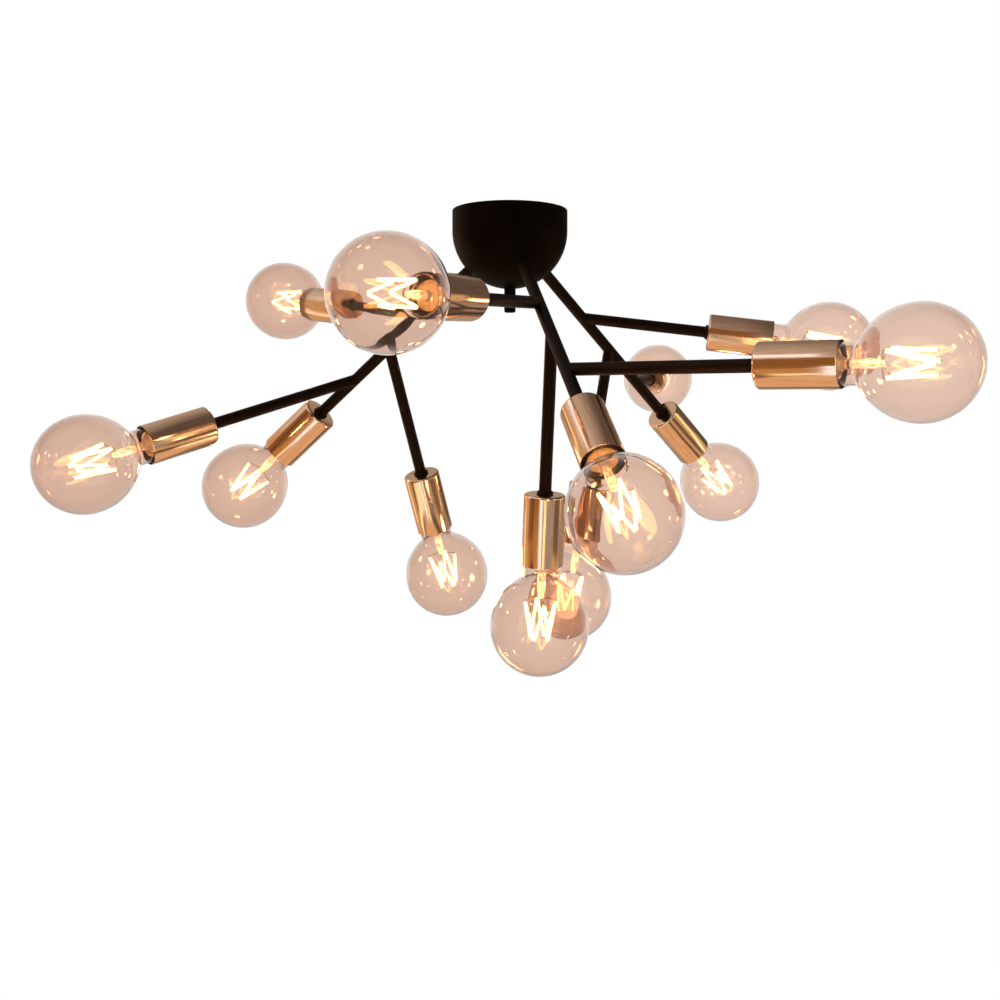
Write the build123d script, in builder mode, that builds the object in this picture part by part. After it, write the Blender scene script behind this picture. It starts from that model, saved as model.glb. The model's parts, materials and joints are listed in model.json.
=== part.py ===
"""Branching ceiling light: a bowl canopy, three tube arms and twelve globe lamps in brass cups.

Millimetres, +Z up. The origin is on the ceiling, on the canopy's axis, and the light hangs below it.
Each arm is one straight stem that leaves the round bottom of the canopy square to it. Three branch tubes
are coped on to the stem, stepped round it, and the stem's own end carries the fourth lamp. The arms are
alike. Each is turned about its own stem before its nut is tightened, which is why they hang differently.
"""
import os
from math import cos, radians, sin, sqrt

from build123d import *

# Canopy: a straight wall that ends in a half sphere
CANOPY_D = 121.0
CANOPY_H = 82.0
CANOPY_WALL = 1.5
CANOPY_EDGE = 0.6

# Ceiling bracket, threaded rod and finial that pull the canopy up
BRACKET_L = 100.0
BRACKET_W = 24.0
BRACKET_T = 2.5
BRACKET_CORNER = 4.0
SLOT_SPACING = 70.0
SLOT_L = 12.0
SLOT_W = 5.0
ROD_D = 6.0
ROD_NUT_FLATS = 10.0
ROD_NUT_H = 5.0
FINIAL_D = 12.0
FINIAL_L = 25.0
FINIAL_EDGE = 1.5
FINIAL_GRIP = 15.0

# Terminal block under the bracket
TERMINAL_L = 33.0
TERMINAL_W = 16.0
TERMINAL_H = 15.0
TERMINAL_STEP = 5.0
TERMINAL_POLES = 3
TERMINAL_PITCH = 10.0
WIRE_ENTRY_D = 4.0
SCREW_WELL_D = 4.6
SCREW_WELL_DEPTH = 6.0

# Arms: stem tilt below the ceiling, and each arm's bearing and turn about its own stem
STEM_TILT = 40.0
ARM_BEARINGS = (-74.0, 38.0, 159.0)
ARM_TURNS = (0.0, 6.3, -26.7)
STEM_REACH = 296.0
TUBE_D = 12.0
WIRE_BORE_D = 8.0
THREAD_D = 10.0
ARM_NUT_FLATS = 16.0
ARM_NUT_H = 5.0
WASHER_D = 19.0
WASHER_T = 2.5
THREAD_SPARE = 2.0

# Branches in order from the canopy: place along the stem, lean from the stem, clock angle round it from
# the top, and length from the stem's axis to the cup
BRANCH_PLACES = (133.0, 185.0, 239.0)
BRANCH_LEANS = (53.0, 57.7, 56.4)
BRANCH_CLOCKS = (58.4, 180.0, 303.2)
BRANCH_LENGTHS = (138.0, 152.0, 178.5)

# Collar, brass cup and lampholder
COLLAR_D = 16.0
COLLAR_H = 3.5
COLLAR_BEVEL = 1.6
CUP_D = 40.0
CUP_L = 69.0
CUP_WALL = 0.8
CUP_BASE = 2.0
CUP_EDGE = 2.4
HOLDER_RECESS = 0.8
HOLDER_CONE_DEPTH = 3.0
HOLDER_FLOOR = 30.4
HOLDER_THREAD_DEPTH = 12.0
HOLDER_WIRE_D = 5.0
SHELL_WALL = 0.6
SHELL_L = 26.0
CONTACT_D = 9.0

# Globe lamp with a screw cap
GLOBE_D = 95.0
GLOBE_WALL = 1.0
GLOBE_OUT = 61.5
NECK_D = 35.2
NECK_BLEND = 5.0
SHOULDER_OFFSET = 6.5
CAP_D = 26.4
CAP_TOP = 2.4
CAP_THREAD_L = 19.0
CAP_WALL = 0.6
CAP_STEP = 1.5
INSULATOR_H = 5.0
INSULATOR_T = 1.0
CAP_TIP_D = 10.0
CAP_TIP_H = 1.6

# Filament mount: glass stem, a four-armed support and eight filaments in a zigzag crown
MOUNT_STEM_D = 8.0
MOUNT_FLARE_H = 7.0
CROWN_TOP = 35.0
CROWN_BOTTOM = 75.0
CROWN_TOP_R = 15.5
CROWN_BOTTOM_R = 9.8
CROWN_POINTS = 4
FILAMENT_W = 2.2
SUPPORT_W = 1.2

# Clearances
THREAD_GAP = 0.05
SLIDE_GAP = 0.1
SEAT_GAP = 0.05
NECK_GAP = 0.6
CAP_GAP = 0.3

# Worked out from the sizes above
CANOPY_R = CANOPY_D / 2
DOME_CENTRE = Vector(0, 0, CANOPY_R - CANOPY_H)
THREAD_R = THREAD_D / 2
THREAD_HOLE_R = THREAD_R + THREAD_GAP
CUP_BORE_R = CUP_D / 2 - CUP_WALL
HOLDER_R = CUP_BORE_R - SLIDE_GAP
HOLDER_MOUTH_R = NECK_D / 2 + NECK_GAP
SHELL_R = CAP_D / 2 + CAP_GAP
SHELL_BORE_R = SHELL_R + SHELL_WALL + SLIDE_GAP
CAP_BOTTOM = -CAP_TOP - CAP_THREAD_L - INSULATOR_H - CAP_TIP_H
STEM_SHOULDER = sqrt(CANOPY_R**2 - THREAD_HOLE_R**2)
DOME_BORE_R = CANOPY_R - CANOPY_WALL
WASHER_BACK = sqrt(DOME_BORE_R**2 - (WASHER_D / 2) ** 2) - WASHER_T
NUT_BACK = WASHER_BACK - SEAT_GAP - ARM_NUT_H
STEM_THREAD_END = NUT_BACK - THREAD_SPARE
ROD_HOLE_R = ROD_D / 2 + THREAD_GAP
FINIAL_TOP = DOME_CENTRE.Z - sqrt(CANOPY_R**2 - (ROD_HOLE_R + SLIDE_GAP) ** 2) - SEAT_GAP
ROD_BOTTOM = FINIAL_TOP - FINIAL_GRIP


def arm_plane(bearing, turn):
    """Plane at the dome's centre, facing down the stem, with x on the side that would be the stem's top."""
    flat, tilt = radians(bearing), radians(STEM_TILT)
    out = Vector(cos(flat) * cos(tilt), sin(flat) * cos(tilt), -sin(tilt))
    top = Vector(cos(flat) * sin(tilt), sin(flat) * sin(tilt), cos(tilt))
    return Plane(origin=DOME_CENTRE, x_dir=top.rotate(Axis((0, 0, 0), out), turn), z_dir=out)


def branch_plane(arm, place, lean, clock):
    """Plane on the stem's axis, facing along a branch."""
    lean, clock = radians(lean), radians(clock)
    side = arm.x_dir * cos(clock) + arm.y_dir * sin(clock)
    along = arm.z_dir * cos(lean) + side * sin(lean)
    across = side * cos(lean) - arm.z_dir * sin(lean)
    return Plane(origin=arm.origin + arm.z_dir * place, x_dir=across, z_dir=along)


def lamp_plane(tube, length):
    """Plane in a cup's mouth, facing out along the lamp."""
    return tube.offset(length + CUP_L)


def section(lamp):
    """Half-section plane of a lamp: x is the radius and y runs out of the cup's mouth."""
    return Plane(origin=lamp.origin, x_dir=lamp.x_dir, z_dir=lamp.x_dir.cross(lamp.z_dir))


def spin_axis(lamp):
    return Axis(lamp.origin, lamp.z_dir)


def save(piece, name):
    piece.part.label = name
    export_step(piece.part, f"parts/{name}.step")


def arc_middle(centre, start, end):
    """Middle point of the short arc about a centre."""
    half = ((start - centre).normalized() + (end - centre).normalized()).normalized()
    return centre + half * (start - centre).length


def globe_curve(inset):
    """Points of the glass outline, set in from the outside by the wall or by nothing.

    The neck is straight, then a small hollow blend runs into the shoulder. The shoulder is an arc a little
    flatter than the globe, with its centre past the axis, and it meets the globe's arc at the widest place.
    Returns the foot and the end of the neck, then each arc's middle and end in turn up to the crown.
    """
    neck, globe, blend = NECK_D / 2 - inset, GLOBE_D / 2 - inset, NECK_BLEND + inset
    shoulder = globe + SHOULDER_OFFSET
    shoulder_centre = Vector(-SHOULDER_OFFSET, GLOBE_OUT)
    reach = neck + blend + SHOULDER_OFFSET
    drop = sqrt((shoulder + blend) ** 2 - reach**2)
    blend_centre = Vector(neck + blend, GLOBE_OUT - drop)
    start = Vector(neck, GLOBE_OUT - drop)
    end = shoulder_centre + (blend_centre - shoulder_centre).normalized() * shoulder
    side = Vector(globe, GLOBE_OUT)
    crown = Vector(0, GLOBE_OUT + globe)
    blend_mid = arc_middle(blend_centre, start, end)
    shoulder_mid = arc_middle(shoulder_centre, end, side)
    globe_mid = arc_middle(Vector(0, GLOBE_OUT), side, crown)
    return Vector(neck, 0), start, blend_mid, end, shoulder_mid, side, globe_mid, crown


os.makedirs("parts", exist_ok=True)

arms = [arm_plane(bearing, turn) for bearing, turn in zip(ARM_BEARINGS, ARM_TURNS)]
branch_sizes = list(zip(BRANCH_PLACES, BRANCH_LEANS, BRANCH_CLOCKS))
arm_branches = [[branch_plane(arm, *sizes) for sizes in branch_sizes] for arm in arms]
arm_lamps = []
for arm, branches in zip(arms, arm_branches):
    lamps_on_branches = [lamp_plane(tube, length) for tube, length in zip(branches, BRANCH_LENGTHS)]
    arm_lamps.append(lamps_on_branches + [lamp_plane(arm, STEM_REACH)])

# Ceiling bracket: flat strap with two slots for the ceiling screws and a tapped centre hole
with BuildPart() as ceiling_bracket:
    with BuildSketch() as strap:
        RectangleRounded(BRACKET_L, BRACKET_W, BRACKET_CORNER)
        with GridLocations(SLOT_SPACING, 0, 2, 1):
            SlotOverall(SLOT_L, SLOT_W, mode=Mode.SUBTRACT)
        Circle(ROD_HOLE_R, mode=Mode.SUBTRACT)
    extrude(amount=-BRACKET_T)
save(ceiling_bracket, "ceiling_bracket")

# Threaded rod from the bracket down through the dome into the finial
with BuildPart() as centre_rod:
    with BuildSketch(Plane.XY):
        Circle(ROD_D / 2)
    extrude(amount=ROD_BOTTOM)
save(centre_rod, "centre_rod")

# Nut that locks the rod under the bracket
with BuildPart() as rod_lock_nut:
    with BuildSketch(Plane.XY.offset(-BRACKET_T)):
        RegularPolygon(ROD_NUT_FLATS / 2, 6, major_radius=False)
        Circle(ROD_HOLE_R, mode=Mode.SUBTRACT)
    extrude(amount=-ROD_NUT_H)
save(rod_lock_nut, "rod_lock_nut")

# Terminal block: stepped body with wire entries through it and screw wells from below
terminal_x = ROD_NUT_FLATS / 2 + THREAD_SPARE + TERMINAL_W / 2
with BuildPart() as terminal_block:
    with BuildSketch(Plane.XY.offset(-BRACKET_T)):
        with Locations((terminal_x, 0)):
            Rectangle(TERMINAL_W, TERMINAL_L)
    extrude(amount=-(TERMINAL_H - TERMINAL_STEP))
    with BuildSketch(Plane.XY.offset(-BRACKET_T - TERMINAL_H + TERMINAL_STEP)):
        with Locations((terminal_x, 0)):
            Rectangle(TERMINAL_W - TERMINAL_STEP, TERMINAL_L)
    extrude(amount=-TERMINAL_STEP)
    pole_row = [(terminal_x, (i - (TERMINAL_POLES - 1) / 2) * TERMINAL_PITCH) for i in range(TERMINAL_POLES)]
    with BuildSketch(Plane.XY.offset(-BRACKET_T - TERMINAL_H)):
        with Locations(*pole_row):
            Circle(SCREW_WELL_D / 2)
    extrude(amount=SCREW_WELL_DEPTH, mode=Mode.SUBTRACT)
    entry_z = -BRACKET_T - (TERMINAL_H - TERMINAL_STEP) / 2
    entry_face = Plane.YZ.offset(terminal_x - TERMINAL_W / 2)
    with BuildSketch(entry_face.move(Location((0, 0, entry_z)))):
        with GridLocations(TERMINAL_PITCH, 0, TERMINAL_POLES, 1):
            Circle(WIRE_ENTRY_D / 2)
    extrude(amount=TERMINAL_W, mode=Mode.SUBTRACT)
save(terminal_block, "terminal_block")

# Canopy: spun steel bowl, holed at the bottom for the rod and square to the dome for each arm
with BuildPart() as canopy:
    with BuildSketch(Plane.XZ) as bowl:
        with BuildLine():
            rim_in = (CANOPY_R - CANOPY_WALL, 0)
            outer_wall = Line((CANOPY_R, 0), (CANOPY_R, DOME_CENTRE.Z))
            slope = sin(radians(45))
            outer_mid = (CANOPY_R * slope, DOME_CENTRE.Z - CANOPY_R * slope)
            outer_dome = ThreePointArc(outer_wall @ 1, outer_mid, (0, -CANOPY_H))
            floor = Line(outer_dome @ 1, (0, -CANOPY_H + CANOPY_WALL))
            inner_mid = (DOME_BORE_R * slope, DOME_CENTRE.Z - DOME_BORE_R * slope)
            inner_dome = ThreePointArc(floor @ 1, inner_mid, (DOME_BORE_R, DOME_CENTRE.Z))
            inner_wall = Line(inner_dome @ 1, rim_in)
            Line(inner_wall @ 1, outer_wall @ 0)
        make_face()
        fillet(bowl.vertices().group_by(Axis.Y)[-1].sort_by(Axis.X)[-1], CANOPY_EDGE)
    revolve(axis=Axis.Z)
    with BuildSketch(Plane.XY.offset(-CANOPY_H)):
        Circle(ROD_HOLE_R + SLIDE_GAP)
    extrude(amount=CANOPY_H + DOME_CENTRE.Z, mode=Mode.SUBTRACT)
    for arm in arms:
        with BuildSketch(arm):
            Circle(THREAD_HOLE_R)
        extrude(amount=CANOPY_D, mode=Mode.SUBTRACT)
save(canopy, "canopy")

# Finial: long cap nut that draws the canopy to the ceiling
with BuildPart() as finial_nut:
    with BuildSketch(Plane.XZ) as cap_nut:
        with BuildLine():
            Polyline(
                (ROD_HOLE_R, FINIAL_TOP),
                (FINIAL_D / 2, FINIAL_TOP),
                (FINIAL_D / 2, FINIAL_TOP - FINIAL_L),
                (0, FINIAL_TOP - FINIAL_L),
                (0, ROD_BOTTOM - SEAT_GAP),
                (ROD_HOLE_R, ROD_BOTTOM - SEAT_GAP),
                close=True,
            )
        make_face()
        fillet(cap_nut.vertices().group_by(Axis.Y)[0].sort_by(Axis.X)[-1], FINIAL_EDGE)
    revolve(axis=Axis.Z)
save(finial_nut, "finial_nut")

# Washers inside the dome: round on the dome's side and flat on the nut's side
with BuildPart() as arm_washers:
    for arm in arms:
        with BuildSketch(section(arm)):
            with BuildLine():
                seat_r = DOME_BORE_R - SEAT_GAP
                hole_top = (THREAD_HOLE_R, sqrt(seat_r**2 - THREAD_HOLE_R**2))
                edge_top = (WASHER_D / 2, sqrt(seat_r**2 - (WASHER_D / 2) ** 2))
                seat = RadiusArc(hole_top, edge_top, seat_r)
                Polyline(seat @ 1, (WASHER_D / 2, WASHER_BACK), (THREAD_HOLE_R, WASHER_BACK), seat @ 0)
            make_face()
        revolve(axis=spin_axis(arm))
save(arm_washers, "arm_washers")

# Hexagon nuts that hold the arms and set how far each is turned
with BuildPart() as arm_nuts:
    for arm in arms:
        with BuildSketch(arm.offset(NUT_BACK)):
            RegularPolygon(ARM_NUT_FLATS / 2, 6, major_radius=False)
            Circle(THREAD_HOLE_R, mode=Mode.SUBTRACT)
        extrude(amount=ARM_NUT_H)
save(arm_nuts, "arm_nuts")

# Collars between each tube and its cup
with BuildPart() as tube_collars:
    for lamps in arm_lamps:
        for lamp in lamps:
            with BuildSketch(section(lamp)) as collar:
                with BuildLine():
                    Polyline(
                        (THREAD_HOLE_R, -CUP_L),
                        (COLLAR_D / 2, -CUP_L),
                        (COLLAR_D / 2, -CUP_L - COLLAR_H),
                        (THREAD_HOLE_R, -CUP_L - COLLAR_H),
                        close=True,
                    )
                make_face()
                chamfer(collar.vertices().group_by(Axis.Y)[0].sort_by(Axis.X)[-1], COLLAR_BEVEL)
            revolve(axis=spin_axis(lamp))
save(tube_collars, "tube_collars")

tube_end = CUP_L + COLLAR_H
thread_end = CUP_L - CUP_BASE - HOLDER_THREAD_DEPTH

for number, (arm, branches, lamps) in enumerate(zip(arms, arm_branches, arm_lamps), start=1):
    # Stem: tube with a threaded end through the dome and another into the end lamp
    with BuildPart() as arm_stem:
        with BuildSketch(arm.offset(STEM_SHOULDER)):
            Circle(TUBE_D / 2)
        extrude(amount=STEM_REACH - COLLAR_H - STEM_SHOULDER)
        with BuildSketch(arm.offset(STEM_THREAD_END)):
            Circle(THREAD_R)
        extrude(amount=STEM_REACH + CUP_L - thread_end - STEM_THREAD_END)
        with BuildSketch(arm.offset(STEM_THREAD_END)):
            Circle(WIRE_BORE_D / 2)
        extrude(amount=STEM_REACH + CUP_L - STEM_THREAD_END, mode=Mode.SUBTRACT)
        for tube in branches:
            with BuildSketch(tube):
                Circle(WIRE_BORE_D / 2)
            extrude(amount=TUBE_D, mode=Mode.SUBTRACT)
    save(arm_stem, f"arm_stem_{number}")

    # Branches: tubes coped to the stem's round side, threaded at the lamp end
    with BuildPart() as branch_tubes:
        for tube, length in zip(branches, BRANCH_LENGTHS):
            with BuildSketch(tube):
                Circle(TUBE_D / 2)
            extrude(amount=length - COLLAR_H)
            with BuildSketch(tube.offset(length - COLLAR_H)):
                Circle(THREAD_R)
            extrude(amount=tube_end - thread_end)
            with BuildSketch(tube):
                Circle(WIRE_BORE_D / 2)
            extrude(amount=length + CUP_L, mode=Mode.SUBTRACT)
        with BuildSketch(arm):
            Circle(TUBE_D / 2)
        extrude(amount=STEM_REACH, mode=Mode.SUBTRACT)
    save(branch_tubes, f"arm_branches_{number}")

    # Brass cups: thin drawn sleeves with a round-edged base
    with BuildPart() as brass_cups:
        for lamp in lamps:
            with BuildSketch(section(lamp)) as sleeve:
                with BuildLine():
                    Polyline(
                        (CUP_BORE_R, 0),
                        (CUP_D / 2, 0),
                        (CUP_D / 2, -CUP_L),
                        (THREAD_HOLE_R, -CUP_L),
                        (THREAD_HOLE_R, -CUP_L + CUP_BASE),
                        (CUP_BORE_R, -CUP_L + CUP_BASE),
                        close=True,
                    )
                make_face()
                fillet(sleeve.vertices().group_by(Axis.Y)[0].sort_by(Axis.X)[-1], CUP_EDGE)
            revolve(axis=spin_axis(lamp))
    save(brass_cups, f"brass_cups_{number}")

    # Lampholders: black moulded bodies with a coned mouth that follows the lamp's neck
    with BuildPart() as lampholders:
        for lamp in lamps:
            with BuildSketch(section(lamp)):
                with BuildLine():
                    Polyline(
                        (HOLDER_MOUTH_R, -HOLDER_RECESS),
                        (HOLDER_R, -HOLDER_RECESS),
                        (HOLDER_R, -CUP_L + CUP_BASE),
                        (THREAD_HOLE_R, -CUP_L + CUP_BASE),
                        (THREAD_HOLE_R, -thread_end + SEAT_GAP),
                        (HOLDER_WIRE_D / 2, -thread_end + SEAT_GAP),
                        (HOLDER_WIRE_D / 2, -HOLDER_FLOOR),
                        (SHELL_BORE_R, -HOLDER_FLOOR),
                        (SHELL_BORE_R, -HOLDER_CONE_DEPTH),
                        close=True,
                    )
                make_face()
            revolve(axis=spin_axis(lamp))
    save(lampholders, f"lampholders_{number}")

    # Contacts: the screw shell that takes the lamp's cap, and the tongue under the cap's tip
    with BuildPart() as holder_contacts:
        for lamp in lamps:
            with BuildSketch(lamp.offset(-HOLDER_FLOOR)):
                Circle(SHELL_R + SHELL_WALL)
                Circle(SHELL_R, mode=Mode.SUBTRACT)
            extrude(amount=SHELL_L)
            with BuildSketch(lamp.offset(-HOLDER_FLOOR)):
                Circle(CONTACT_D / 2)
            extrude(amount=HOLDER_FLOOR + CAP_BOTTOM - SEAT_GAP)
    save(holder_contacts, f"holder_contacts_{number}")

    for letter, lamp in zip("abcd", lamps):
        # Globe: blown glass with a short straight neck that runs into the cup
        with BuildPart() as globe:
            with BuildSketch(section(lamp)):
                with BuildLine():
                    lip = (CAP_D / 2, -CAP_TOP)
                    in_lip = (CAP_D / 2 - GLOBE_WALL, -CAP_TOP)
                    outside, inside = globe_curve(0), globe_curve(GLOBE_WALL)
                    Line(in_lip, lip)
                    for edge, face in ((lip, outside), (in_lip, inside)):
                        foot, start, blend_mid, end, shoulder_mid, side, globe_mid, crown = face
                        Polyline(edge, foot, start)
                        ThreePointArc(start, blend_mid, end)
                        ThreePointArc(end, shoulder_mid, side)
                        ThreePointArc(side, globe_mid, crown)
                    Line(outside[-1], inside[-1])
                make_face()
            revolve(axis=spin_axis(lamp))
        save(globe, f"bulb_{number}{letter}_globe")

        # Cap: hollow screw shell closed by the insulator and the centre tip
        with BuildPart() as cap:
            with BuildSketch(section(lamp)):
                with BuildLine():
                    thread_bottom = -CAP_TOP - CAP_THREAD_L
                    tip_top = CAP_BOTTOM + CAP_TIP_H
                    Polyline(
                        (CAP_D / 2 - CAP_WALL, -CAP_TOP),
                        (CAP_D / 2, -CAP_TOP),
                        (CAP_D / 2, thread_bottom),
                        (CAP_D / 2 - CAP_STEP, thread_bottom),
                        (CAP_TIP_D / 2, tip_top),
                        (CAP_TIP_D / 2, CAP_BOTTOM),
                        (0, CAP_BOTTOM),
                        (0, tip_top + INSULATOR_T),
                        (CAP_TIP_D / 2, tip_top + INSULATOR_T),
                        (CAP_D / 2 - CAP_STEP, thread_bottom + INSULATOR_T),
                        (CAP_D / 2 - CAP_WALL, thread_bottom + INSULATOR_T),
                        close=True,
                    )
                make_face()
            revolve(axis=spin_axis(lamp))
        save(cap, f"bulb_{number}{letter}_cap")

        # Filament mount: flared glass stem, support wires and the zigzag crown of filaments
        with BuildPart() as filament:
            with BuildSketch(section(lamp)):
                with BuildLine():
                    Polyline(
                        (0, -CAP_TOP),
                        (CAP_D / 2 - GLOBE_WALL, -CAP_TOP),
                        (MOUNT_STEM_D / 2, -CAP_TOP + MOUNT_FLARE_H),
                        (MOUNT_STEM_D / 2, CROWN_TOP + SUPPORT_W),
                        (0, CROWN_TOP + SUPPORT_W),
                        close=True,
                    )
                make_face()
            revolve(axis=spin_axis(lamp))
            step = 360 / CROWN_POINTS
            for point in range(CROWN_POINTS):
                spoke = lamp.x_dir.rotate(spin_axis(lamp), point * step)
                top = lamp.origin + lamp.z_dir * CROWN_TOP + spoke * CROWN_TOP_R
                hub = lamp.origin + lamp.z_dir * CROWN_TOP
                with BuildSketch(Plane(origin=hub, x_dir=lamp.z_dir, z_dir=spoke)):
                    Rectangle(SUPPORT_W, SUPPORT_W)
                extrude(amount=CROWN_TOP_R)
                for side_step in (-step / 2, step / 2):
                    inner = spoke.rotate(spin_axis(lamp), side_step)
                    bottom = lamp.origin + lamp.z_dir * CROWN_BOTTOM + inner * CROWN_BOTTOM_R
                    with BuildSketch(Plane(origin=top, x_dir=spoke, z_dir=bottom - top)):
                        Rectangle(FILAMENT_W, FILAMENT_W)
                    extrude(amount=(bottom - top).length)
        save(filament, f"bulb_{number}{letter}_filament")
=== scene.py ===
# %% [markdown]
# # A branching ceiling light
#
# The real object is a black bowl canopy with three slanted tubes. Each tube branches, and every end
# carries a globe lamp in a satin brass cup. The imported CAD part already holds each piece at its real
# size, so this lesson loads it first and never moves it. Shapes that the solids show well keep their
# solids and get a finish. Glass, lamp caps, filaments and cups are turned again here, because they need
# finer curves and a texture that follows each lamp's own axis.

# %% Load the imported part
import json
import math

import bmesh
import bpy
from mathutils import Matrix, Vector


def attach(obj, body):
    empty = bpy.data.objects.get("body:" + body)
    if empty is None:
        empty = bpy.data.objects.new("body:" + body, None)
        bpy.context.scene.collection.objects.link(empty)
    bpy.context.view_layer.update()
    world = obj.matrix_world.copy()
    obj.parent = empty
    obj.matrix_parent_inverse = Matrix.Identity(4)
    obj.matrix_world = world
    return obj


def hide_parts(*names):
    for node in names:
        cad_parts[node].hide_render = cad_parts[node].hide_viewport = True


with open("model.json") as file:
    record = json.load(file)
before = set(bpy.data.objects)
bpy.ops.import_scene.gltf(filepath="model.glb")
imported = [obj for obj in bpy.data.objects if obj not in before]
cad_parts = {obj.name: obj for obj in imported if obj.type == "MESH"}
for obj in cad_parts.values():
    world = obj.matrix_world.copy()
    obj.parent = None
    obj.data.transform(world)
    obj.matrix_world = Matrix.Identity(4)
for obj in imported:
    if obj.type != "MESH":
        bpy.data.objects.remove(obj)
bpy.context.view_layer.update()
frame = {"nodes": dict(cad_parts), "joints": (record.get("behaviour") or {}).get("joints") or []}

# %% [markdown]
# ## The camera
#
# The photograph was taken almost level with the lamps, from a little over a metre away. A camera could be
# placed by eye, but then every lamp would sit a little off. The place, lens and shift here come from
# fitting a pinhole camera to the canopy, the tubes and the twelve globes together. The short distance
# matters: the nearest globe looks about 1.8 times as wide as the farthest one.

# %% Camera at the photograph's place
# The place is in metres and the yaw in degrees.
CAMERA_PLACE = (0, -1.2325, -0.226)
CAMERA_YAW = -0.67
LENS_MM, SENSOR_MM = 42.19, 36
SHIFT_X, SHIFT_Y = -0.0236, -0.0743

camera = bpy.data.objects.new("photo_camera", bpy.data.cameras.new("photo_camera"))
bpy.context.scene.collection.objects.link(camera)
camera.location = CAMERA_PLACE
camera.rotation_euler = (math.radians(90), 0, math.radians(CAMERA_YAW))
camera.data.sensor_width = SENSOR_MM
camera.data.lens = LENS_MM
camera.data.shift_x = SHIFT_X
camera.data.shift_y = SHIFT_Y
bpy.context.scene.camera = camera
bpy.context.scene.view_settings.view_transform = "Standard"
print("camera", CAMERA_PLACE, LENS_MM, "mm")

# %% [markdown]
# ## Helpers for finishes
#
# Colours are picked as sRGB hex values, as on a screen, while a shader works in linear light, so one
# function converts them. Nodes could be added and linked line by line, but a finish would then run to
# pages. One function adds any node with its settings and links, which keeps each finish short enough to
# read as a list of what it is made of.

# %% Colour and node helpers


def linear(hex_colour):
    """An sRGB hex colour as a linear RGBA tuple."""
    parts = [int(hex_colour[i:i + 2], 16) / 255 for i in (1, 3, 5)]
    return tuple(c / 12.92 if c <= 0.04045 else ((c + 0.055) / 1.055) ** 2.4 for c in parts) + (1.0,)


def add(tree, kind, inputs=None, **settings):
    """Adds a node. Settings are its own fields.

    Inputs are values, sockets to link from, or nodes to link from by their first output.
    """
    made = tree.nodes.new(kind)
    for field, value in settings.items():
        setattr(made, field, value)
    for name, value in (inputs or {}).items():
        source = value.outputs[0] if isinstance(value, bpy.types.Node) else value
        if isinstance(source, bpy.types.NodeSocket):
            tree.links.new(source, made.inputs[name])
        else:
            made.inputs[name].default_value = source
    return made


def finish_named(name):
    """A new material and its empty node tree."""
    material = bpy.data.materials.new(name)
    material.use_nodes = True
    material.node_tree.nodes.clear()
    return material, material.node_tree


def cells_per_metre(size_mm):
    """Noise scale that makes one cell about this many millimetres wide."""
    return 1000 / size_mm


def paint(names, finish):
    """Gives CAD nodes a finish in place of the plain one that they came with."""
    for name in names:
        frame["nodes"][name].data.materials.clear()
        frame["nodes"][name].data.materials.append(finish)


print("middle grey", [round(c, 3) for c in linear("#808080")])

# %% [markdown]
# ## Where each lamp is
#
# Twelve lamps point twelve ways. Their places could be typed in, but the part already knows them. Every
# lamp slides out along its own axis, so the part's joints say which way each one points. The globe's
# farthest vertex along that axis is its crown, and the mouth of the cup lies a known length behind it.
# The spoke that the filaments start from is read off the CAD filament in the same way. With these three
# facts each lamp gets a frame of its own: z out of the cup, x along a filament spoke.

# %% Lamp frames from the CAD nodes
# Sizes of cups and lamps are in millimetres, as in the CAD.
GLOBE_R, GLOBE_OUT = 47.5, 61.5


def lamp_frame(tag, out):
    """The lamp's own frame, in metres, with its origin in the middle of the cup's mouth."""
    globe = frame["nodes"][f"bulb_{tag}_globe"].data.vertices
    crown = max((v.co for v in globe), key=out.dot)
    mouth = crown - out * (GLOBE_OUT + GLOBE_R) / 1000
    spokes = []
    for v in frame["nodes"][f"bulb_{tag}_filament"].data.vertices:
        reach = v.co - mouth
        spokes.append(reach - out * out.dot(reach))
    side = max(spokes, key=lambda s: s.length).normalized()
    turn = Matrix((side, out.cross(side), out)).transposed()
    return Matrix.Translation(mouth) @ turn.to_4x4()


lamps = {}
for joint in frame["joints"]:
    if joint["child"].startswith("bulb_"):
        tag = joint["child"].split("_")[1]
        lamps[tag] = lamp_frame(tag, Vector(joint["axis"]).normalized())
print(len(lamps), "lamps; mouth of 1a at", [round(v, 4) for v in lamps["1a"].translation])

# %% [markdown]
# ## Turning on a lathe
#
# Cups, globes and caps are all round about one axis, as real spun metal and blown glass are. Blender's
# Screw modifier could turn them, but it can't give each step of the outline its own finish. So one
# function turns an outline of radius and height into a mesh. It stores each vertex's place in the lamp's
# own frame as an attribute, so that a texture can run along the cup whichever way the cup points, and it
# writes the vertices in the part's frame, where the CAD is.

# %% Lathe and arc helpers


def arc(centre, radius, start, end, steps):
    """Points on an arc in the outline, angles in degrees from the radius direction towards out."""
    angles = [math.radians(start + (end - start) * i / steps) for i in range(steps + 1)]
    return [(centre[0] + radius * math.cos(a), centre[1] + radius * math.sin(a)) for a in angles]


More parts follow.
